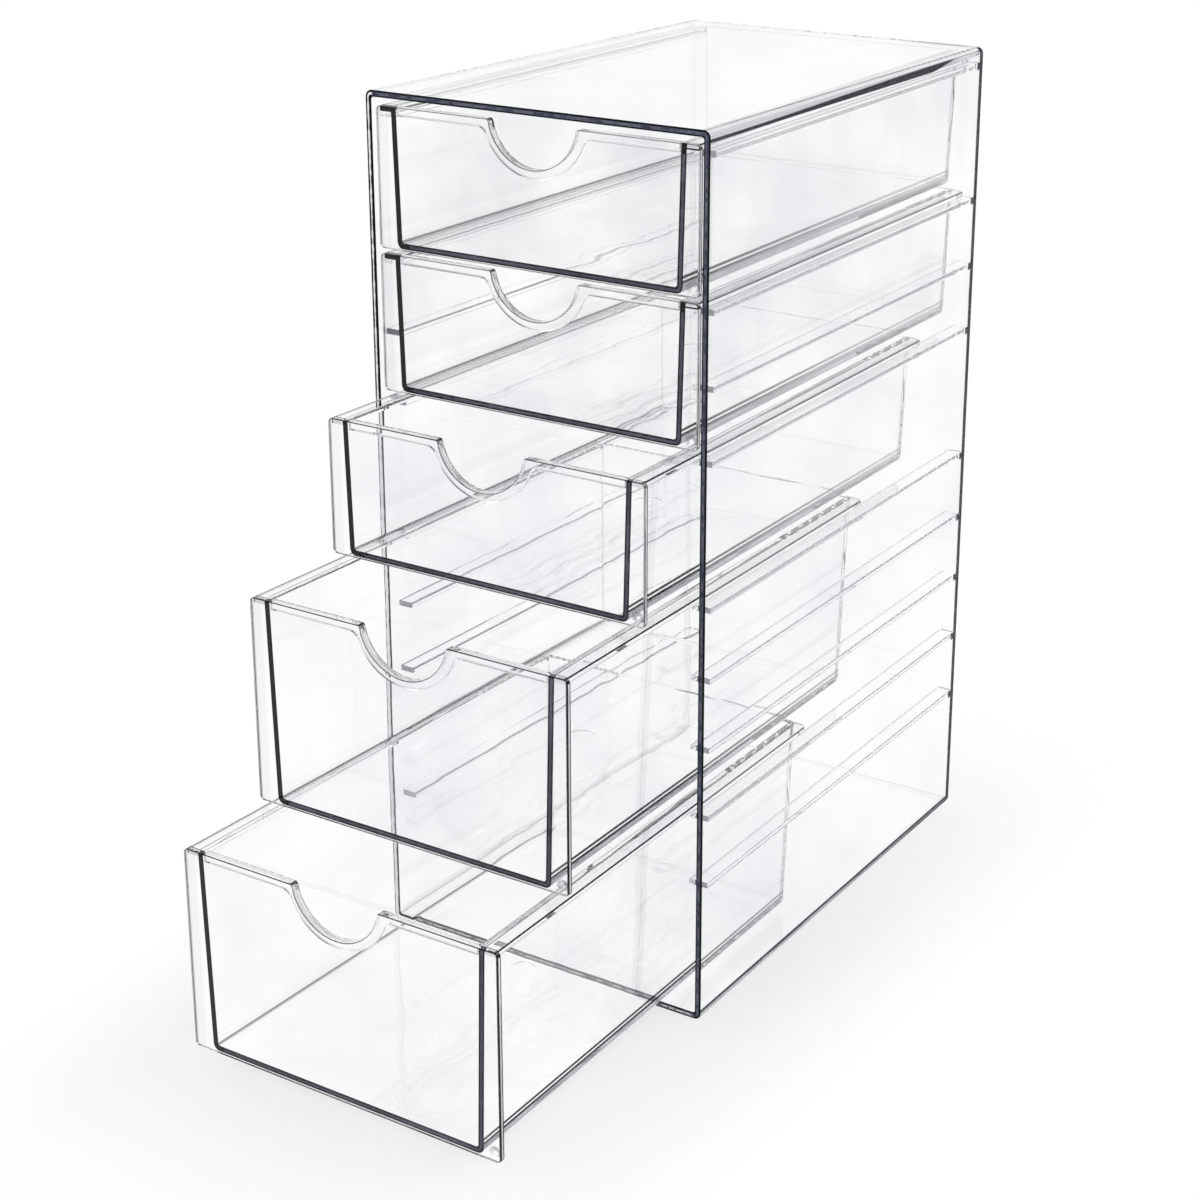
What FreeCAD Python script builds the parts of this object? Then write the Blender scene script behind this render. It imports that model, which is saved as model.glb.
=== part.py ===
import FreeCAD, Part
import math
import os

# Clear moulded organiser tower: one open-fronted case with runner ribs inside its
# side walls, and a stack of drawers that hang from the ribs by their rim flanges.
# Every drawer is a tray whose open front end is bonded to a flat front plate.
#
# Millimetres and degrees. +Z is up, the open front faces -Y and +X is to the right
# of someone who looks at the front. The origin is the centre of the case's base.

# ---- case ----
CASE_WIDTH = 130.0          # outside, at the open front
CASE_DEPTH = 195.0          # outside
CASE_HEIGHT = 300.0         # outside, at the open front
CASE_WALL = 2.2
SIDE_DRAFT = 1.0            # each side wall leans in by this much towards the back
ROOF_DRAFT = 0.5            # the roof falls by this much towards the back
CASE_EDGE_RADIUS = 2.4      # long outside edges
CASE_BACK_RADIUS = 1.6      # outside edges around the back
CASE_INNER_RADIUS = 0.9     # long inside edges
CASE_CORNER_RADIUS = 0.45   # inside edges around the back
CASE_RIM_RADIUS = 0.35      # both edges of the front rim

# ---- runner ribs ----
RIB_SLOTS = (0, 2, 3, 4, 6, 7, 8, 9, 10)
SLOT_COUNT = 12             # drawer height units in the case
RIB_THICKNESS = 2.0
RIB_REACH = 5.8             # from the side wall's inner face
RIB_SETBACK = 5.2           # from the case's front to a rib's front end
RIB_NOSE_RADIUS = 0.8

# ---- stack of drawers ----
HEAD_CLEARANCE = 2.6        # from the top drawer's rim to the roof, at the front
FOOT_CLEARANCE = 1.9        # from the bottom drawer to the case's floor
DRAWER_GAP = 1.7            # between one front plate and the next
# top slot, height in units, how far the drawer stands open
DRAWERS = (
    (0, 2, 0.0),
    (2, 2, 0.0),
    (4, 2, 30.0),
    (6, 3, 72.0),
    (9, 3, 109.0),
)

# ---- front plates ----
FRONT_THICKNESS = 2.0
FRONT_SIDE_CLEARANCE = 1.5  # to the case's inner side walls
FRONT_RECESS = 0.5          # behind the case's front rim when closed
FRONT_CORNER_RADIUS = 1.8
FRONT_EDGE_RADIUS = 0.35
NOTCH_RADIUS = 16.8         # finger notch in the top edge
NOTCH_DEPTH = 14.5
NOTCH_LIP_RADIUS = 1.2      # where the notch meets the top edge
BEAD_WIDTH = 3.2            # stiffening bead behind the top edge and round the notch
BEAD_DEPTH = 1.2            # how far it stands proud of the plate's back
BEAD_ROUND = 0.8            # its inner outline
BEAD_BLEND = 3.0            # where its straight part meets its curved part
BEAD_SIDE_CLEARANCE = 0.4   # to the tray's side walls

# ---- trays ----
TRAY_WALL = 2.0
TRAY_FLOOR = 2.0
TRAY_DRAFT = 1.5            # walls lean in towards the floor
TRAY_RIB_CLEARANCE = 1.0    # from a rib's nose to the tray's wall
TRAY_BACK_CLEARANCE = 2.3   # to the case's back wall when closed
TRAY_LIFT = 0.3             # from the front plate's lower edge to the tray's underside
TRAY_CORNER_RADIUS = 2.4    # outside edges
TRAY_INNER_RADIUS = 1.0
FLANGE_THICKNESS = 2.0
FLANGE_SIDE_CLEARANCE = 2.3  # to the case's inner side walls
FLANGE_CLEARANCE = 0.3      # between a flange and the rib that carries it
FLANGE_CORNER_RADIUS = 3.0  # rear outer corner
FLANGE_EDGE_RADIUS = 0.5

# ---- moulding marks ----
GATE_RADIUS = 4.6           # round recess under each moulding's injection point
GATE_DEPTH = 0.3
CASE_GATE_OFFSET = 14.0     # the case's mark lies this far in front of its base's centre

# ---- derived places ----
FRONT_Y = -CASE_DEPTH / 2
BACK_Y = CASE_DEPTH / 2
SIDE_LEAN = math.tan(math.radians(SIDE_DRAFT))
ROOF_LEAN = math.tan(math.radians(ROOF_DRAFT))
TRAY_LEAN = math.tan(math.radians(TRAY_DRAFT))
CEILING_Z = CASE_HEIGHT - CASE_WALL
STACK_TOP_Z = CEILING_Z - HEAD_CLEARANCE
STACK_HEIGHT = STACK_TOP_Z - CASE_WALL - FOOT_CLEARANCE + DRAWER_GAP
SLOT_PITCH = STACK_HEIGHT / SLOT_COUNT
TRAY_FRONT_Y = FRONT_Y + FRONT_RECESS + FRONT_THICKNESS
TRAY_BACK_Y = BACK_Y - CASE_WALL - TRAY_BACK_CLEARANCE
TOOL_OVERRUN = 5.0          # how far a cutting tool runs past the face that it opens
ON_FACE = 0.01              # an edge nearer than this to a plane lies on it


def vector(x, y, z):
    return FreeCAD.Vector(x, y, z)


def inner_half_width(y):
    """Half the distance between the side walls' inner faces at depth y."""
    return CASE_WIDTH / 2 - CASE_WALL - (y - FRONT_Y) * SIDE_LEAN


def slot_top(slot):
    """Height of the rim of a drawer that hangs in this slot."""
    return STACK_TOP_Z - slot * SLOT_PITCH


def closed_wire(points):
    return Part.makePolygon([vector(*point) for point in points + points[:1]])


def frustum(first, last):
    """Flat-sided solid between two sections. Their corners run clockwise, seen from the last one."""
    corners = range(-1, len(first) - 1)
    sides = [[first[i], first[i + 1], last[i + 1], last[i]] for i in corners]
    return Part.Solid(Part.Shell([Part.Face(closed_wire(ring)) for ring in [first, last] + sides]))


def edges_where(shape, test):
    return [edge for edge in shape.Edges if test(edge.BoundBox)]


def rounded(shape, radius, test):
    """Round the edges whose bounding box passes the test."""
    return shape.makeFillet(radius, edges_where(shape, test))


def mirrored(shape):
    return shape.mirror(vector(0, 0, 0), vector(1, 0, 0))


def gate_recess(centre_y, base_z):
    """Tool for the shallow round mark in an underside."""
    return Part.makeCylinder(GATE_RADIUS, GATE_DEPTH + TOOL_OVERRUN,
                             vector(0, centre_y, base_z - TOOL_OVERRUN))


# ---- case ----

def case_section(y, inset):
    """Corners of the case's outline at depth y, moved in by a wall."""
    side = CASE_WIDTH / 2 - (y - FRONT_Y) * SIDE_LEAN - inset
    roof = CASE_HEIGHT - (y - FRONT_Y) * ROOF_LEAN - inset
    return [(-side, y, inset), (side, y, inset), (side, y, roof), (-side, y, roof)]


def case_block(front_y, back_y, inset, long_radius, back_radius):
    """Tapered block with rounded long edges and a rounded rear end."""
    block = frustum(case_section(front_y, inset), case_section(back_y, inset))
    block = rounded(block, long_radius, lambda box: box.YLength > CASE_DEPTH / 2)
    return rounded(block, back_radius, lambda box: box.YMin > back_y - ON_FACE)


def runner_rib(slot):
    """One rib on the right-hand wall, with a rounded nose."""
    top = slot_top(slot) - FLANGE_THICKNESS - FLANGE_CLEARANCE
    bottom = top - RIB_THICKNESS
    start_y = FRONT_Y + RIB_SETBACK
    end_y = BACK_Y - CASE_WALL / 2
    root = CASE_WALL / 2

    def section(z):
        return [
            (inner_half_width(start_y) - RIB_REACH, start_y, z),
            (inner_half_width(end_y) - RIB_REACH, end_y, z),
            (inner_half_width(end_y) + root, end_y, z),
            (inner_half_width(start_y) + root, start_y, z),
        ]

    rib = frustum(section(bottom), section(top))
    nose_x = inner_half_width(start_y) - RIB_REACH

    def is_nose(box):
        return box.YLength > RIB_THICKNESS and box.XMax < nose_x + ON_FACE

    return rounded(rib, RIB_NOSE_RADIUS, is_nose)


def case_shell():
    outer = case_block(FRONT_Y, BACK_Y, 0.0, CASE_EDGE_RADIUS, CASE_BACK_RADIUS)
    hollow = case_block(FRONT_Y - TOOL_OVERRUN, BACK_Y - CASE_WALL, CASE_WALL,
                        CASE_INNER_RADIUS, CASE_CORNER_RADIUS)
    shell = outer.cut(hollow)
    shell = rounded(shell, CASE_RIM_RADIUS, lambda box: box.YMax < FRONT_Y + ON_FACE)
    ribs = [runner_rib(slot) for slot in RIB_SLOTS]
    shell = shell.fuse(ribs + [mirrored(rib) for rib in ribs])
    return shell.cut(gate_recess(-CASE_GATE_OFFSET, 0.0)).removeSplitter()


# ---- drawers ----

def drawer_height(units):
    return units * SLOT_PITCH - DRAWER_GAP


def bead(top, centre_z, plate_back):
    """Strip along a plate's top edge that widens round the notch, before the notch is cut."""
    half = inner_half_width(TRAY_FRONT_Y) - RIB_REACH - TRAY_RIB_CLEARANCE - TRAY_WALL
    half -= BEAD_WIDTH * TRAY_LEAN + BEAD_SIDE_CLEARANCE
    low = top - BEAD_WIDTH
    root_y = plate_back - FRONT_THICKNESS / 2
    depth = BEAD_DEPTH + FRONT_THICKNESS / 2
    strip = Part.makeBox(2 * half, depth, BEAD_WIDTH, vector(-half, root_y, low))
    reach = NOTCH_RADIUS + BEAD_WIDTH
    disc = Part.makeCylinder(reach, depth, vector(0, root_y, centre_z), vector(0, 1, 0))
    below_top = Part.makeBox(2 * reach, depth, 2 * reach, vector(-reach, root_y, top - 2 * reach))
    band = strip.fuse(disc.common(below_top)).removeSplitter()
    meeting = math.sqrt(reach ** 2 - (centre_z - low) ** 2)

    def is_meeting(box):
        across = box.YLength > depth / 2
        return across and abs(abs(box.XMin) - meeting) < ON_FACE and abs(box.ZMin - low) < ON_FACE

    band = rounded(band, BEAD_BLEND, is_meeting)

    def is_inner_outline(box):
        rear = box.YMin > plate_back + BEAD_DEPTH - ON_FACE
        return rear and box.ZMin < top - ON_FACE

    return rounded(band, BEAD_ROUND, is_inner_outline)


def front_plate(top, units):
    """Flat plate with rounded corners, a finger notch in its top edge and a bead behind it."""
    half = CASE_WIDTH / 2 - CASE_WALL - FRONT_SIDE_CLEARANCE
    bottom = top - drawer_height(units)
    front_y = TRAY_FRONT_Y - FRONT_THICKNESS
    plate = Part.makeBox(2 * half, FRONT_THICKNESS, top - bottom, vector(-half, front_y, bottom))
    plate = rounded(plate, FRONT_CORNER_RADIUS, lambda box: box.YLength > FRONT_THICKNESS / 2)
    centre_z = top + NOTCH_RADIUS - NOTCH_DEPTH
    plate = plate.fuse(bead(top, centre_z, TRAY_FRONT_Y)).removeSplitter()
    notch = Part.makeCylinder(NOTCH_RADIUS, FRONT_THICKNESS + 2 * TOOL_OVERRUN,
                              vector(0, front_y - TOOL_OVERRUN, centre_z), vector(0, 1, 0))
    plate = plate.cut(notch)

    def is_lip(box):
        across = box.YLength > FRONT_THICKNESS / 2
        return across and box.ZMin > top - ON_FACE and abs(box.XMax) < NOTCH_RADIUS

    plate = rounded(plate, NOTCH_LIP_RADIUS, is_lip)
    rear_y = TRAY_FRONT_Y + BEAD_DEPTH

    def is_outline(box):
        if box.YLength > ON_FACE:
            return False
        front = box.YMax < front_y + ON_FACE
        outer = max(abs(box.XMin), abs(box.XMax)) > half - FRONT_CORNER_RADIUS - ON_FACE
        back = abs(box.YMin - TRAY_FRONT_Y) < ON_FACE and outer
        rear = box.YMin > rear_y - ON_FACE and box.ZMax > centre_z - NOTCH_RADIUS - ON_FACE
        return front or back or rear

    return rounded(plate, FRONT_EDGE_RADIUS, is_outline)


def tray_section(z, top, inset, front_y):
    """Corners of the tray's outline at height z, moved in by a wall."""
    lean = (top - z) * TRAY_LEAN + inset
    reach = RIB_REACH + TRAY_RIB_CLEARANCE + lean
    front = inner_half_width(front_y) - reach
    back_y = TRAY_BACK_Y - lean
    back = inner_half_width(back_y) - reach
    return [(-front, front_y, z), (-back, back_y, z), (back, back_y, z), (front, front_y, z)]


def tray_block(low, high, top, inset, front_y, radius):
    """Tapered block, open end forward, rounded along its floor and back corners."""
    block = frustum(tray_section(low, top, inset, front_y), tray_section(high, top, inset, front_y))

    def is_corner(box):
        upright = box.ZLength > (high - low) / 2 and box.YMin > front_y + TOOL_OVERRUN
        underneath = box.ZMax < low + ON_FACE and box.YMax > front_y + ON_FACE
        return upright or underneath

    return rounded(block, radius, is_corner)


def rim_flange(top):
    """Flange on the right-hand wall's upper edge."""
    low = top - FLANGE_THICKNESS

    def outer_x(y):
        return inner_half_width(y) - FLANGE_SIDE_CLEARANCE

    def root_x(y):
        return inner_half_width(y) - RIB_REACH - TRAY_RIB_CLEARANCE - TRAY_WALL / 2

    def section(z):
        return [
            (root_x(TRAY_FRONT_Y), TRAY_FRONT_Y, z),
            (root_x(TRAY_BACK_Y), TRAY_BACK_Y, z),
            (outer_x(TRAY_BACK_Y), TRAY_BACK_Y, z),
            (outer_x(TRAY_FRONT_Y), TRAY_FRONT_Y, z),
        ]

    flange = frustum(section(low), section(top))
    corner_x = outer_x(TRAY_BACK_Y) - ON_FACE

    def is_corner(box):
        return box.ZLength > FLANGE_THICKNESS / 2 and box.YMin > 0 and box.XMin > corner_x

    flange = rounded(flange, FLANGE_CORNER_RADIUS, is_corner)

    def is_outline(box):
        return box.ZLength < ON_FACE and box.XMax > corner_x and box.YLength > ON_FACE

    return rounded(flange, FLANGE_EDGE_RADIUS, is_outline)


def tray(top, units):
    """Box with a floor, two sides and a back, and a flange along each side's rim."""
    low = top - drawer_height(units) + TRAY_LIFT
    outer = tray_block(low, top, top, 0.0, TRAY_FRONT_Y, TRAY_CORNER_RADIUS)
    hollow = tray_block(low + TRAY_FLOOR, top + TOOL_OVERRUN, top, TRAY_WALL,
                        TRAY_FRONT_Y - TOOL_OVERRUN, TRAY_INNER_RADIUS)
    flange = rim_flange(top)
    body = outer.fuse([flange, mirrored(flange)]).cut(hollow)
    centre_y = (TRAY_FRONT_Y + TRAY_BACK_Y) / 2
    return body.cut(gate_recess(centre_y, low)).removeSplitter()


def export(shape, node):
    shape.exportStep(os.path.join("parts", node + ".step"))


def main():
    os.makedirs("parts", exist_ok=True)
    export(case_shell(), "case_shell")
    for number, (slot, units, opening) in enumerate(DRAWERS, start=1):
        pull = vector(0, -opening, 0)
        top = slot_top(slot)
        export(front_plate(top, units).translated(pull), f"drawer_{number}_front")
        export(tray(top, units).translated(pull), f"drawer_{number}_tray")


main()
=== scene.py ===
"""Looks of the clear drawer organizer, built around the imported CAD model.

Metres throughout, in the CAD frame: origin at the centre of the case's base,
+Z up, the open front faces -Y. The materials alone measure in millimetres.
"""

import math

import bpy
from mathutils import Matrix, Vector

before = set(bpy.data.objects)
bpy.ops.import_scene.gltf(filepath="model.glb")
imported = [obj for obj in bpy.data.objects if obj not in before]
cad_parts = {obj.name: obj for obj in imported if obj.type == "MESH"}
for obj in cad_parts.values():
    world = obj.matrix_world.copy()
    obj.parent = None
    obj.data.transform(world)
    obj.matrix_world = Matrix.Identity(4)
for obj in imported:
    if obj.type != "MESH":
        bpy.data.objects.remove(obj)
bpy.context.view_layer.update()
scene = bpy.context.scene

# ---------- the part's own measures, in millimetres ----------

# case
FRONT_Y = -97.5
HALF_WIDTH = 65.0
HEIGHT = 300.0
RIM_WALL = 2.2
EDGE_RADIUS = 2.4
SIDE_LEAN = math.tan(math.radians(1.0))
ROOF_LEAN = math.tan(math.radians(0.5))
# runner ribs
RIB_FRONT_Y = -92.3
RIB_MIDDLE = 291.9          # height of the top rib's middle
SLOT_PITCH = 24.4
# trays
TRAY_FRONT_Y = -95.0
TRAY_HALF = 55.956          # at the rim, by the front plate
TRAY_WALL = 2.0
TRAY_LEAN = math.tan(math.radians(1.5))
TRAY_RADIUS = 2.4
TRAY_LIFT = 0.3             # from the plate's lower edge to the tray's underside
FLANGE_INNER = 56.0
FLANGE_HALF = 60.46
# front plates
PLATE_HALF = 61.3
NOTCH_RADIUS = 16.8
NOTCH_DEPTH = 14.5
# drawer number: height of its rim, height of its front plate, how far it stands open
DRAWERS = {
    1: (295.2, 47.1, 0),
    2: (246.4, 47.1, 0),
    3: (197.6, 47.1, 30),
    4: (148.8, 71.5, 72),
    5: (75.6, 71.5, 109),
}


# ---------- node helpers ----------

class Value:
    """A number that a node tree works out. Python arithmetic adds Math nodes."""

    def __init__(self, tree, source):
        self.tree, self.source = tree, source

    def made(self, operation, *others):
        node = self.tree.nodes.new("ShaderNodeMath")
        node.operation = operation
        for item, socket in zip((self, *others), node.inputs):
            put(self.tree, item, socket)
        return Value(self.tree, node.outputs[0])

    def __add__(self, other):
        return self.made("ADD", other)

    def __sub__(self, other):
        return self.made("SUBTRACT", other)

    def __mul__(self, other):
        return self.made("MULTIPLY", other)

    def least(self, other):
        return self.made("MINIMUM", other)

    def most(self, other):
        return self.made("MAXIMUM", other)

    def size(self):
        return self.made("ABSOLUTE")

    def root(self):
        return self.made("SQRT")

    def flipped(self):
        """One less this value."""
        return self * -1.0 + 1.0

    def ramp(self, low, high, to_low=0.0, to_high=1.0):
        """Smooth step from to_low at low to to_high at high."""
        node = self.tree.nodes.new("ShaderNodeMapRange")
        node.interpolation_type = "SMOOTHSTEP"
        ends = {"From Min": low, "From Max": high, "To Min": to_low, "To Max": to_high}
        for name, item in {"Value": self, **ends}.items():
            put(self.tree, item, node.inputs[name])
        return Value(self.tree, node.outputs[0])

    def pick(self, at_zero, at_one):
        """One number where this is 0 and another where it is 1."""
        return self.ramp(0, 1, at_zero, at_one)

    def above(self, limit, soft=0.04):
        return self.ramp(limit - soft, limit + soft)

    def below(self, limit, soft=0.04):
        return self.ramp(limit - soft, limit + soft, 1.0, 0.0)

    def within(self, low, high, soft=0.04):
        return self.above(low, soft) * self.below(high, soft)


def put(tree, item, socket):
    """A number, a colour, a socket or a Value goes into a socket."""
    if isinstance(item, Value):
        item = item.source
    if isinstance(item, bpy.types.NodeSocket):
        tree.links.new(item, socket)
    else:
        socket.default_value = item


def colour(*levels):
    """Linear colour of an sRGB one, three whole numbers from 0 to 255."""
    def linear(level):
        if level <= 10:
            return level / 255 / 12.92
        return ((level / 255 + 0.055) / 1.055) ** 2.4

    return tuple(linear(level) for level in levels) + (1.0,)


class Tree:
    """A material's or the world's cleared node tree."""

    def __init__(self, owner):
        owner.use_nodes = True
        self.tree = owner.node_tree
        self.tree.nodes.clear()

    def add(self, kind, inputs=(), **settings):
        node = self.tree.nodes.new("ShaderNode" + kind)
        for name, value in settings.items():
            setattr(node, name, value)
        for name, item in dict(inputs).items():
            put(self.tree, item, node.inputs[name])
        return node

    def value(self, socket):
        return Value(self.tree, socket)

    def parts(self, socket):
        node = self.add("SeparateXYZ", {0: socket})
        return [self.value(s) for s in node.outputs]

    def blend(self, share, first, second):
        return self.add("Mix", {0: share, 6: first, 7: second}, data_type="RGBA").outputs[2]

    def shaders(self, share, first, second):
        return self.add("MixShader", {0: share, 1: first, 2: second}).outputs[0]

    def ray(self, *names):
        """1 for rays of any of these kinds."""
        path = self.add("LightPath")
        found = self.value(path.outputs[names[0]])
        for name in names[1:]:
            found = found.most(self.value(path.outputs[name]))
        return found

    def noise(self, place, scale, detail=2.0):
        node = self.add("TexNoise", {"Vector": place, "Scale": scale, "Detail": detail})
        return self.value(node.outputs["Fac"])


# ---------- camera ----------

PHOTO_SIDE = 1200
# the lens and the optical axis, in the photograph's pixels
FOCAL = 2495
AXIS_Y = 488
SENSOR = 36
EYE = Vector((0.4421, -0.7233, 0.4414))
AZIMUTH, ELEVATION, ROLL = (math.radians(a) for a in (33.65, 19.10, -0.18))


def make_camera():
    data = bpy.data.cameras.new("camera")
    data.sensor_width = SENSOR
    data.lens = SENSOR * FOCAL / PHOTO_SIDE
    data.shift_y = AXIS_Y / PHOTO_SIDE - 0.5
    data.clip_start, data.clip_end = 0.02, 20
    camera = bpy.data.objects.new("camera", data)
    scene.collection.objects.link(camera)
    scene.camera = camera
    ahead = Vector((-math.sin(AZIMUTH) * math.cos(ELEVATION),
                    math.cos(AZIMUTH) * math.cos(ELEVATION),
                    -math.sin(ELEVATION)))
    level = ahead.cross(Vector((0, 0, 1))).normalized()
    upward = level.cross(ahead)
    right = math.cos(ROLL) * level + math.sin(ROLL) * upward
    above = -math.sin(ROLL) * level + math.cos(ROLL) * upward
    turn = Matrix((right, above, -ahead)).transposed().to_4x4()
    camera.matrix_world = Matrix.Translation(EYE) @ turn


# ---------- studio ----------

WHITE = (1, 1, 1, 1)
# rays that see the white studio; the others get its plain light
SEEN = ("Is Camera Ray", "Is Glossy Ray", "Is Transmission Ray")
BOUNCES = 96                # high, because many clear panes stand in line
FLOOR_HALF = 6.0
FLOOR_DROP = 0.0002         # keeps the floor clear of the part's underside
# the rectangle that the part covers at rest, open drawers included
COVERED_HALF_WIDTH = 0.065
COVERED_HALF_DEPTH = 0.152
COVERED_MIDDLE_Y = -0.054
SIDEWAYS = 1.9              # how much sooner the floor fades beside it
FADE_REACH = 0.13
AIM = Vector((0, -0.05, 0.08))


def make_world():
    world = bpy.data.worlds.new("studio")
    scene.world = world
    t = Tree(world)
    height = t.parts(t.add("TexCoord").outputs["Generated"])[2]
    # white round the horizon and dark high up, where only the rounded edges look
    dark = height.ramp(0.50, 0.68)
    shown = t.add("Background", {"Color": t.blend(dark, WHITE, (0.03, 0.03, 0.045, 1))})
    fill = t.add("Background", {"Color": WHITE, "Strength": 0.80})
    t.add("OutputWorld", {"Surface": t.shaders(t.ray(*SEEN), fill.outputs[0], shown.outputs[0])})


def make_floor():
    corners = [(x * FLOOR_HALF, y * FLOOR_HALF, 0) for x, y in ((-1, -1), (1, -1), (1, 1), (-1, 1))]
    data = bpy.data.meshes.new("floor")
    data.from_pydata(corners, [], [(0, 1, 2, 3)])
    paint = bpy.data.materials.new("floor_paint")
    t = Tree(paint)
    x, y, _ = t.parts(t.add("TexCoord").outputs["Object"])
    beside = (x.size() - COVERED_HALF_WIDTH).most(0.0) * SIDEWAYS
    before = ((y - COVERED_MIDDLE_Y).size() - COVERED_HALF_DEPTH).most(0.0)
    away = (beside * beside + before * before).root()
    paper = t.add("BsdfDiffuse", {"Color": (0.96, 0.96, 0.96, 1)})
    glow = t.add("Emission", {"Color": WHITE})
    # plain white takes over away from the part, and almost all of what gloss and plastic show
    fade = away.ramp(0.0, FADE_REACH, 0.25, 1.0)
    through = t.ray("Is Glossy Ray", "Is Transmission Ray") * 0.9
    share = t.ray(*SEEN) * fade.most(through)
    t.add("OutputMaterial", {"Surface": t.shaders(share, paper.outputs[0], glow.outputs[0])})
    data.materials.append(paint)
    floor = bpy.data.objects.new("floor", data)
    floor.location.z = -FLOOR_DROP
    scene.collection.objects.link(floor)


def make_lamp(name, place, size, power):
    data = bpy.data.lights.new(name, "AREA")
    data.shape = "SQUARE"
    data.size = size
    data.energy = power
    lamp = bpy.data.objects.new(name, data)
    lamp.location = place
    lamp.rotation_mode = "QUATERNION"
    lamp.rotation_quaternion = (AIM - Vector(place)).to_track_quat("-Z", "Y")
    scene.collection.objects.link(lamp)


# ---------- clear acrylic ----------

# opaque colours of painted light and shade at the edges: dark reflections in black, navy and slate, and
# pale reflections of the white studio
BLACK = colour(16, 17, 22)
NAVY = colour(20, 22, 36)
SLATE = colour(72, 74, 88)
PALE = colour(240, 241, 244)
# painted dark reflections for the edges and painted reflection clouds for the panes, put in as tints of
# light that passes the surface: a pane shows them once for its two surfaces
EDGE_DARK_REFLECTION = colour(30, 31, 40)
LAVENDER = colour(128, 130, 150)
# painted reflections, as pale grey clouds on the panes; darker on the closed drawers as painted shade
REFLECTION_CLOUD = (0.945, 0.950, 0.961, 1)
SHADED_REFLECTION_CLOUD = (0.910, 0.914, 0.924, 1)
IOR = 1.49
# squared part of the normal along the nearest axis: below the first a rounded edge, above
# the second a flat face
ROUND_BELOW, FLAT_ABOVE = 0.70, 0.985


def acrylic(name, painted_light, ripple, painted_cloud):
    """Clear plastic with painted dark reflections on its rounded edges, a little uneven by ripple, in
    millimetres.

    The function passed in gives, for the surface m describes: the opaque share and its colour,
    the share and colour of the painted bands, and how dark the small rounded edges are painted.
    These colours are painted light and shade: the dark and pale reflections at the edges.
    """
    paint = bpy.data.materials.new(name)
    t = Tree(paint)
    m = Surface(t)
    opaque, painted_light_colour, painted_band_share, painted_band_colour, edge_weight = painted_light(m)
    # painted reflections: pale grey clouds over the clear body
    body = t.blend(m.cloud.ramp(0.35, 0.70), WHITE, painted_cloud)
    # painted dark reflections and bands are fainter on a face that is seen from inside the plastic
    seen = m.behind.pick(1.0, 0.35)
    body = t.blend(m.rounded * edge_weight * seen, body, EDGE_DARK_REFLECTION)
    body = t.blend(painted_band_share * seen, body, painted_band_colour)
    uneven = t.add("Bump", {"Height": m.wave, "Distance": ripple / 1000, "Strength": 1.0})
    glass = t.add("BsdfPrincipled", {
        "Base Color": body, "Transmission Weight": 1.0, "IOR": IOR, "Roughness": 0.0,
        "Specular Tint": (0.5, 0.5, 0.5, 1), "Normal": uneven.outputs[0]})
    # the opaque paint: painted light and shade in the edges' colours
    edge = t.add("BsdfPrincipled", {"Base Color": painted_light_colour, "Roughness": 0.25, "Specular IOR Level": 0.05})
    # lamps and fill shine through, so the shadow stays light
    thin = t.add("BsdfTransparent", {"Color": (0.93, 0.93, 0.93, 1)})
    solid = t.shaders(opaque, glass.outputs[0], edge.outputs[0])
    shade = t.ray("Is Shadow Ray", "Is Diffuse Ray")
    t.add("OutputMaterial", {"Surface": t.shaders(shade, solid, thin.outputs[0])})
    return paint


class Surface:
    """Where a shaded point is, in millimetres, and which way it faces.

    nx, ny and nz are the squares of its normal's parts. behind is 1 where the face is
    seen from inside the plastic.
    """

    def __init__(self, t):
        self.t = t
        spot = t.add("TexCoord")
        scaled = t.add("VectorMath", {0: spot.outputs["Object"], "Scale": 1000.0}, operation="SCALE")
        place = scaled.outputs[0]
        self.x, self.y, self.z = t.parts(place)
        self.nx, self.ny, self.nz = [n * n for n in t.parts(spot.outputs["Normal"])]
        self.cloud = t.noise(place, 0.022, 3.0)
        self.streak = t.noise(place, 0.35)
        self.wave = t.noise(place, 0.045, 0.5)
        self.behind = t.value(t.add("NewGeometry").outputs["Backfacing"])
        self.rounded = self.nx.most(self.ny).most(self.nz).ramp(ROUND_BELOW, FLAT_ABOVE, 1.0, 0.0)


def round_corner(across, up, corner_across, corner_up, radius):
    """Distance inside a rounded corner, and how far round it: 0 on the side wall, 1 on the floor.

    The sides run at corner_across and corner_up, and up counts from the floor.
    """
    a = across - corner_across + radius
    b = up * -1.0 + corner_up + radius
    outside = (a.most(0.0) * a.most(0.0) + b.most(0.0) * b.most(0.0)).root()
    return (outside + a.most(b).least(0.0) - radius) * -1.0, b * (1 / radius)


def band_colour(t, depth, wall, border, middle):
    """Painted dark reflections: black along both borders of a wall's cut end and the middle colour between
    them.
    """
    inside = (depth - border).ramp(-0.05, 0.05) * (depth * -1.0 + wall - border).ramp(-0.05, 0.05)
    return t.blend(inside, BLACK, middle)


# painted light and shade of the case: dark and pale reflections along its edges and cut rim
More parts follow.
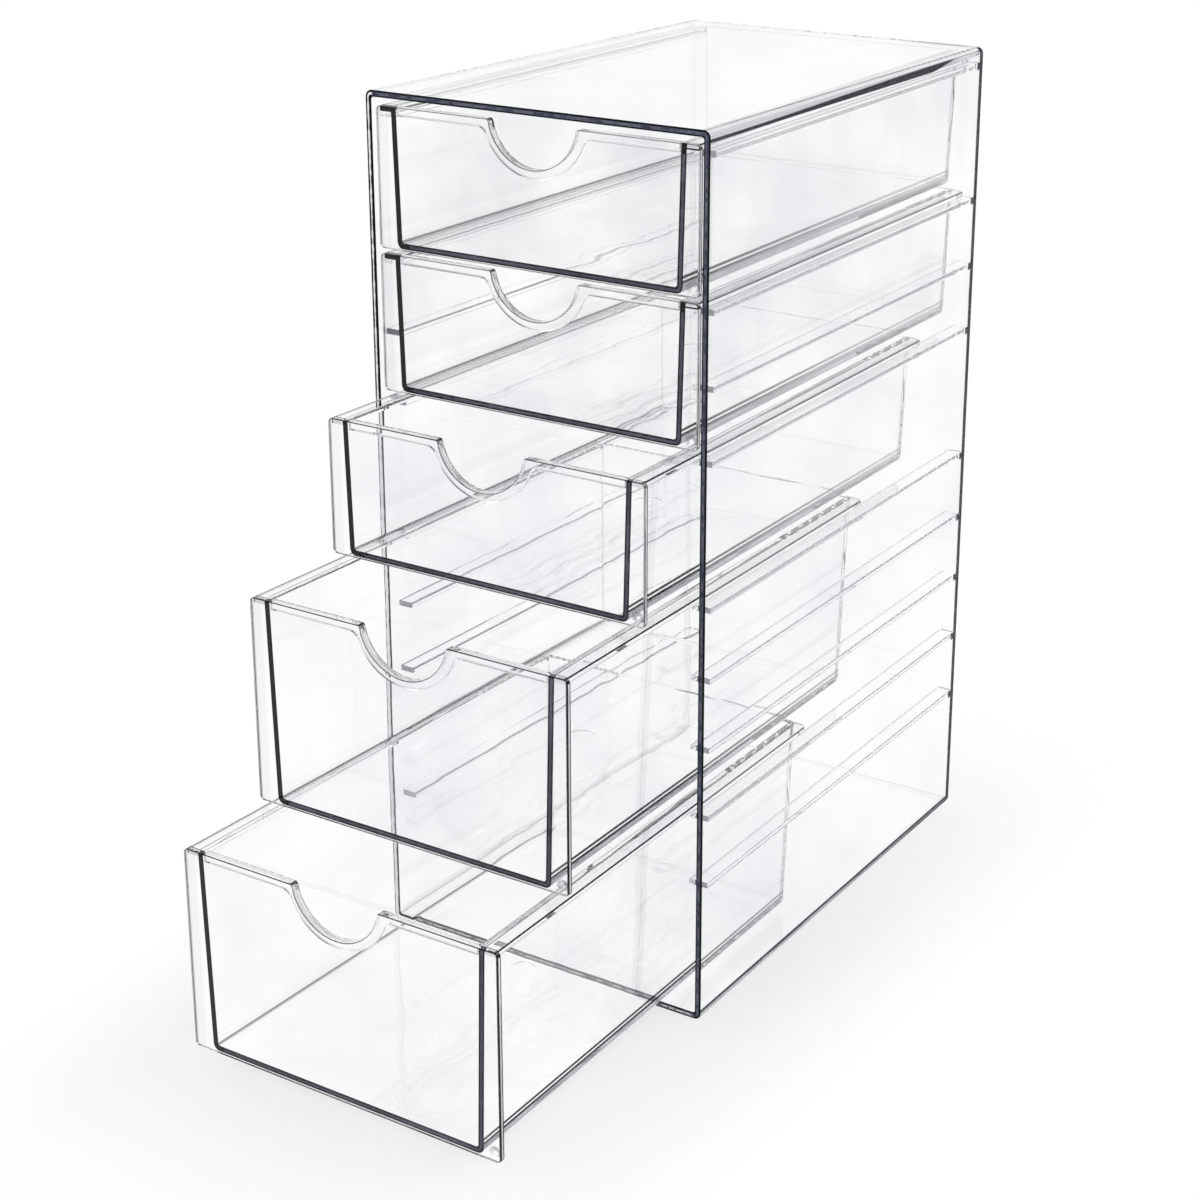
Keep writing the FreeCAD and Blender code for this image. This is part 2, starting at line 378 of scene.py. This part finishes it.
def case_painted_light(m):
    t = m.t
    back = m.y - FRONT_Y
    side = back * -SIDE_LEAN + HALF_WIDTH
    middle = (back * -ROOF_LEAN + HEIGHT) * 0.5
    depth, turn = round_corner(m.x.size(), (m.z - middle).size() * -1.0, side, middle * -1.0, EDGE_RADIUS)
    outer = depth.below(0.2, 0.1)
    upper = m.z.above(HEIGHT / 2)
    lower = upper.flipped()
    left, right = m.x.below(0), m.x.above(0)

    # the cut rim, painted: dark reflections as grey between black borders, but pale reflections on the left
    # and, in places, on the floor
    rim = m.y.below(FRONT_Y + 0.36)
    left_rim = m.x.below(-62.2, 0.3)
    border = m.streak.ramp(0.3, 0.7, 0.42, 0.66) + left_rim * m.z.ramp(170, 215, -0.08, 0.28)
    border = border + m.z.below(1.0, 0.3) * 0.18
    grey = t.blend(m.streak.ramp(0.35, 0.65), colour(60, 63, 80), colour(104, 106, 122))
    floor_rim = m.z.below(RIM_WALL, 0.3) * m.x.size().below(62.0, 0.5) * m.streak.ramp(0.3, 0.6, 0.0, 0.6)
    between = t.blend(left_rim.most(floor_rim), grey, colour(243, 244, 247))
    rim_colour = band_colour(t, depth, RIM_WALL, border, between)

    # roof edge, painted reflections, from the side up: a black line, thicker towards the back, with a
    # lavender band over it, and a pale line as a painted highlight
    roof_line = turn.within(m.y.ramp(52, 76, -0.45, 0.50), m.y.ramp(-97, 66, -0.10, 0.55), 0.06) * upper
    roof_band = turn.within(-0.20, 0.62, 0.10) * upper
    roof_band = roof_band * m.y.ramp(-97, 20, 0.70, 1.0) * m.y.ramp(66, 84, 1.0, 0.3)
    roof_white = turn.within(0.62, 0.94, 0.05) * upper * outer

    # floor edge, painted reflections: two dark lines with lavender between them, greyer towards the back
    floor_line = turn.within(-0.60, -0.15, 0.06) + turn.within(m.y.ramp(20, 75, 0.45, 0.0), 0.92, 0.05)
    floor_line = floor_line.least(1.0) * lower
    floor_band = turn.within(-0.20, 0.60, 0.08) * lower
    floor_grey = turn.within(-0.60, 0.50, 0.08) * m.y.ramp(-10, 60) * lower * outer

    # the rounded edge between floor and back, painted dark
    heel = m.ny.within(0.15, 0.85, 0.06) * m.y.above(94) * m.z.below(1.6, 0.1) * 0.75

    # step is minus the slot's number at the height of its rib; slots 1, 5 and 11 have none
    step = (m.z - RIB_MIDDLE) * (1 / SLOT_PITCH)
    off_rib = (step - step.made("ROUND")).size()
    ribs = (step + 1).size().above(0.4) * (step + 5).size().above(0.4) * step.above(-10.5)
    # the rear upright edge, painted as the dark line that shows through the side, with a knot at each rib
    knot = off_rib.below(1.3 / SLOT_PITCH, 0.01) * ribs
    rear = m.y.ramp(93.3, 93.9).most(m.y.ramp(91.2, 92.2) * knot) * m.nx.above(0.06, 0.05)
    # a thin painted dark line along the top and the bottom of each rib's nose
    nose = depth.within(7.3, 8.2) * (off_rib * SLOT_PITCH).within(0.50, 0.95) * m.y.below(94.5)
    # a rib's front end is painted as it shows through the rim: next to the wall on the right, and
    # whole on the left, where the top two don't show
    hidden = left * m.z.above(290).most(m.z.within(241, 246))
    rib_end = m.y.within(RIB_FRONT_Y - 0.1, RIB_FRONT_Y + 0.1) * m.ny.above(0.5, 0.2) * hidden.flipped()
    rib_end = rib_end * left.most(m.x.above(59.3))
    left_tip = t.blend(m.z.within(215, 222) * left, colour(140, 143, 156), colour(52, 56, 76))
    tip = t.blend(right, left_tip, colour(104, 107, 122))

    # the painted reflections, opaque or as bands; the lines are much fainter seen from inside the plastic
    line = (roof_line + floor_line).most(rear).most(heel) * outer
    opaque = (line * m.behind.pick(0.95, 0.08)).most(rib_end * 0.85).most(roof_white * 0.7)
    opaque = opaque.most(nose * 0.32).most(floor_grey * right.pick(0.12, 0.6))
    painted_band_share = (roof_band * 0.75).most(floor_band * 0.9) * outer
    painted_light_colour = t.blend(nose.most(floor_grey * line.flipped()), NAVY, colour(110, 112, 130))
    painted_light_colour = t.blend(roof_white * line.flipped(), t.blend(rib_end, painted_light_colour, tip), PALE)
    painted_light_colour = t.blend(rim, painted_light_colour, rim_colour)
    return rim.most(opaque), painted_light_colour, painted_band_share, LAVENDER, outer.pick(0.36, 0.45)


class WallEnd:
    """The tray's cut front end, painted as it shows on the tray and on the plate that it meets: dark
    reflections and a pale flange.
    """

    def __init__(self, m, top, height, opening):
        t = m.t
        closed = opening == 0
        back = m.y + (opening - TRAY_FRONT_Y)
        across = m.x.size() + (m.z * -1.0 + top) * TRAY_LEAN + back * SIDE_LEAN
        self.across = across
        self.depth, self.turn = round_corner(across, m.z, TRAY_HALF, top - height + TRAY_LIFT, TRAY_RADIUS)
        # the wall, painted dark reflections: grey between black borders, which meet on the left
        left = m.x.below(-50, 1.0)
        border = m.streak.ramp(0.3, 0.7, 0.44, 0.70) + left * 0.62
        middle = t.blend(m.cloud.ramp(0.4, 0.6), SLATE, colour(98, 99, 114))
        start = m.x.above(0) * (2.4 if closed else 0.0)
        wall = self.depth.within(0.0, TRAY_WALL) * (m.z + start).below(top - 1.3, 0.3)
        # the flange, painted: a pale reflection, with black along its top and its outer edge
        flange = across.within(FLANGE_INNER, FLANGE_HALF) * m.z.above(top - (1.5 if closed else 2.0))
        top_line = m.z.above(left * (-1.1 if closed else 0.0) + (top - 0.40))
        line = top_line.most(across.above(FLANGE_HALF - 0.40)) * flange
        self.shape = wall.most(flange)
        wall_colour = band_colour(t, self.depth, TRAY_WALL, border, middle)
        self.colour = t.blend(line, t.blend(flange * line.flipped(), wall_colour, PALE), BLACK)


# painted light and shade of a tray: dark and pale reflections along its edges
def tray_painted_light(top, height, opening):
    front = TRAY_FRONT_Y - opening

    def painted_light(m):
        t = m.t
        w = WallEnd(m, top, height, opening)
        right = m.x.above(0)
        end = m.y.below(front + 0.05)
        outer = w.depth.below(0.2, 0.1) * w.across.below(56.3)
        # floor edge, painted reflections, from the side down: black, white, black, lavender, black
        lines = w.turn.within(-1.45, -1.05, 0.06) + w.turn.within(-0.80, -0.40, 0.06)
        lines = lines + w.turn.within(0.70, 0.92, 0.05)
        line = lines.least(1.0) * outer * m.behind.pick(1.0, 0.03) * m.y.ramp(-110, 60, 0.95, 0.40)
        band = w.turn.within(-0.40, 0.80, 0.05) * outer * m.behind.pick(1.0, 0.3)
        # rim, painted reflections: lavender over the wall between two lines, and black flange edges
        face = m.z.above(top - 0.03, 0.01)
        inner_line = w.across.within(53.85, 54.15, 0.03) * 0.45 + w.across.within(55.80, 56.12, 0.03) * 0.85
        over_wall = w.across.within(53.96, 55.96) * face
        flange_edge = w.across.above(FLANGE_HALF - 0.42, 0.05) * m.nx.within(0.04, 0.96, 0.03)
        flange_edge = flange_edge * m.z.above(top - 1.0).pick(0.65, 0.95)
        rim = (inner_line * face).most(flange_edge) * m.ny.below(0.1, 0.05)
        # the rear upright corners, painted dark
        upright = m.nx.within(0.15, 0.88, 0.06) * m.nz.below(0.05, 0.03)
        upright = upright * (m.y - front).above(50) * m.z.below(top - 3.0, 0.5)
        upright = upright * m.behind.pick(1.0, 0.25)
        # the inner corner between side and floor, a painted dark line
        over_floor = m.z - (top - height + 2.3)
        inner = w.across.within(53.50, 54.05) * over_floor.within(0.30, 0.95) * right.pick(0.60, 0.25)
        dark = line.most(rim).most(inner).most(upright * right.pick(0.12, 0.75))
        painted_band_share = (band * m.y.ramp(-110, 60, 0.85, 0.55)).most(over_wall * 0.15)
        # how dark the painted rounded edges are: less further back
        weight = m.ny.below(0.1, 0.05) * (m.y - front).ramp(30, 150, 0.38, 0.10) + 0.12
        return (end * w.shape).most(dark), t.blend(end, BLACK, w.colour), painted_band_share, LAVENDER, weight

    return painted_light


# painted light and shade of a front plate: dark and pale reflections along its edges
def plate_painted_light(top, height, opening):
    back = TRAY_FRONT_Y - opening
    # how strong the painted dark outline is: fainter on the drawers that stand least open
    rim_share = 0.45 if opening == 0 else 0.85
    left_share = 0.15 if opening == 0 else 0.40
    right_share, right_weight = {0: (0.18, 0.55), 30: (0.30, 0.60)}.get(opening, (0.90, 0.92))

    def painted_light(m):
        t = m.t
        w = WallEnd(m, top, height, opening)
        right = m.x.above(0)
        across = m.x.size()
        on_back = m.y.within(back - 0.05, back + 0.05)
        end = on_back * w.shape
        # the notch's face turns through all of X and Z, so only Y tells its rounded edges, which are
        # painted dark
        rise = m.z - (top + NOTCH_RADIUS - NOTCH_DEPTH)
        reach = (m.x * m.x + rise * rise).root()
        notch = reach.below(NOTCH_RADIUS + 0.40) * across.below(16.4)
        ring = m.ny.most(m.ny.flipped()).ramp(ROUND_BELOW, FLAT_ABOVE, 1.0, 0.0)
        m.rounded = m.rounded + (ring - m.rounded) * notch
        notch_face = notch * m.ny.below(0.03, 0.03)
        # painted dark bands on the notch's face, and a faint strip on the left
        rear = (m.y - back).ramp(0.2, 1.0, 0.32, 0.75)
        left_strip = across.above(56.5, 0.3) * m.x.below(0) * 0.12
        painted_band_share = (notch_face * rear * across.ramp(4.0, 15.0, 0.45, 1.0)).most(left_strip)
        # the outline, painted reflections: black rounded edges with the pale flat side between them
        flat = across.above(PLATE_HALF - 0.03, 0.01) * m.y.within(back - 1.45, back - 0.7)
        side = across.above(PLATE_HALF - 0.50, 0.02) * flat.flipped() * right.pick(left_share, right_share)
        rim = m.z.within(top - 0.32, top - 0.02, 0.02) * across.above(15.0)
        arc = reach.within(NOTCH_RADIUS + 0.02, NOTCH_RADIUS + 0.30, 0.02) * notch * m.y.below(back - 1.0)
        # a painted grey reflection of the tray's corner where it meets the plate, on the right
        corner_z = m.z - (top - height + 2.6)
        beyond = across - 58.6
        from_corner = (beyond * beyond + corner_z * corner_z).root()
        arch = from_corner.within(0.9, 2.3, 0.25) * corner_z.above(-0.8, 0.5)
        corner_reflection = arch * on_back * right
        opaque = end.most(side).most(rim * rim_share).most(arc * 0.6)
        opaque = opaque.most(flat * 0.6).most(corner_reflection * m.streak.ramp(0.4, 0.6, 0.35, 0.75))
        painted_light_colour = t.blend(flat, BLACK, PALE)
        painted_light_colour = t.blend(corner_reflection, painted_light_colour, colour(150, 152, 162))
        painted_light_colour = t.blend(end, painted_light_colour, w.colour)
        return opaque, painted_light_colour, painted_band_share, colour(70, 71, 78), m.x.above(20, 10).pick(0.92, right_weight)

    return painted_light


CASE_RIPPLE, PLATE_RIPPLE, SMALL_TRAY_RIPPLE, LARGE_TRAY_RIPPLE = 0.06, 0.08, 0.12, 0.20


def make_paints():
    paints = {"case_shell": acrylic("case_acrylic", case_painted_light, CASE_RIPPLE, REFLECTION_CLOUD)}
    for number, size in DRAWERS.items():
        _, height, opening = size
        # the closed drawers get the darker painted reflection clouds, as painted shade
        painted_cloud = SHADED_REFLECTION_CLOUD if opening == 0 else REFLECTION_CLOUD
        ripple = SMALL_TRAY_RIPPLE if height < 50 else LARGE_TRAY_RIPPLE
        paints[f"drawer_{number}_tray"] = acrylic(
            f"tray_{number}_acrylic", tray_painted_light(*size), ripple, painted_cloud)
        paints[f"drawer_{number}_front"] = acrylic(
            f"front_{number}_acrylic", plate_painted_light(*size), PLATE_RIPPLE, painted_cloud)
    for name, paint in paints.items():
        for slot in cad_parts[name].material_slots:
            slot.material = paint


scene.view_settings.view_transform = "Standard"
scene.cycles.max_bounces = BOUNCES
scene.cycles.transmission_bounces = BOUNCES
scene.cycles.glossy_bounces = BOUNCES
scene.cycles.transparent_max_bounces = BOUNCES
make_camera()
make_world()
make_floor()
make_lamp("key_lamp", (0.9, 0.8, 1.6), 1.3, 10)
make_lamp("left_lamp", (-1.2, -0.4, 1.5), 1.3, 5)
make_paints()
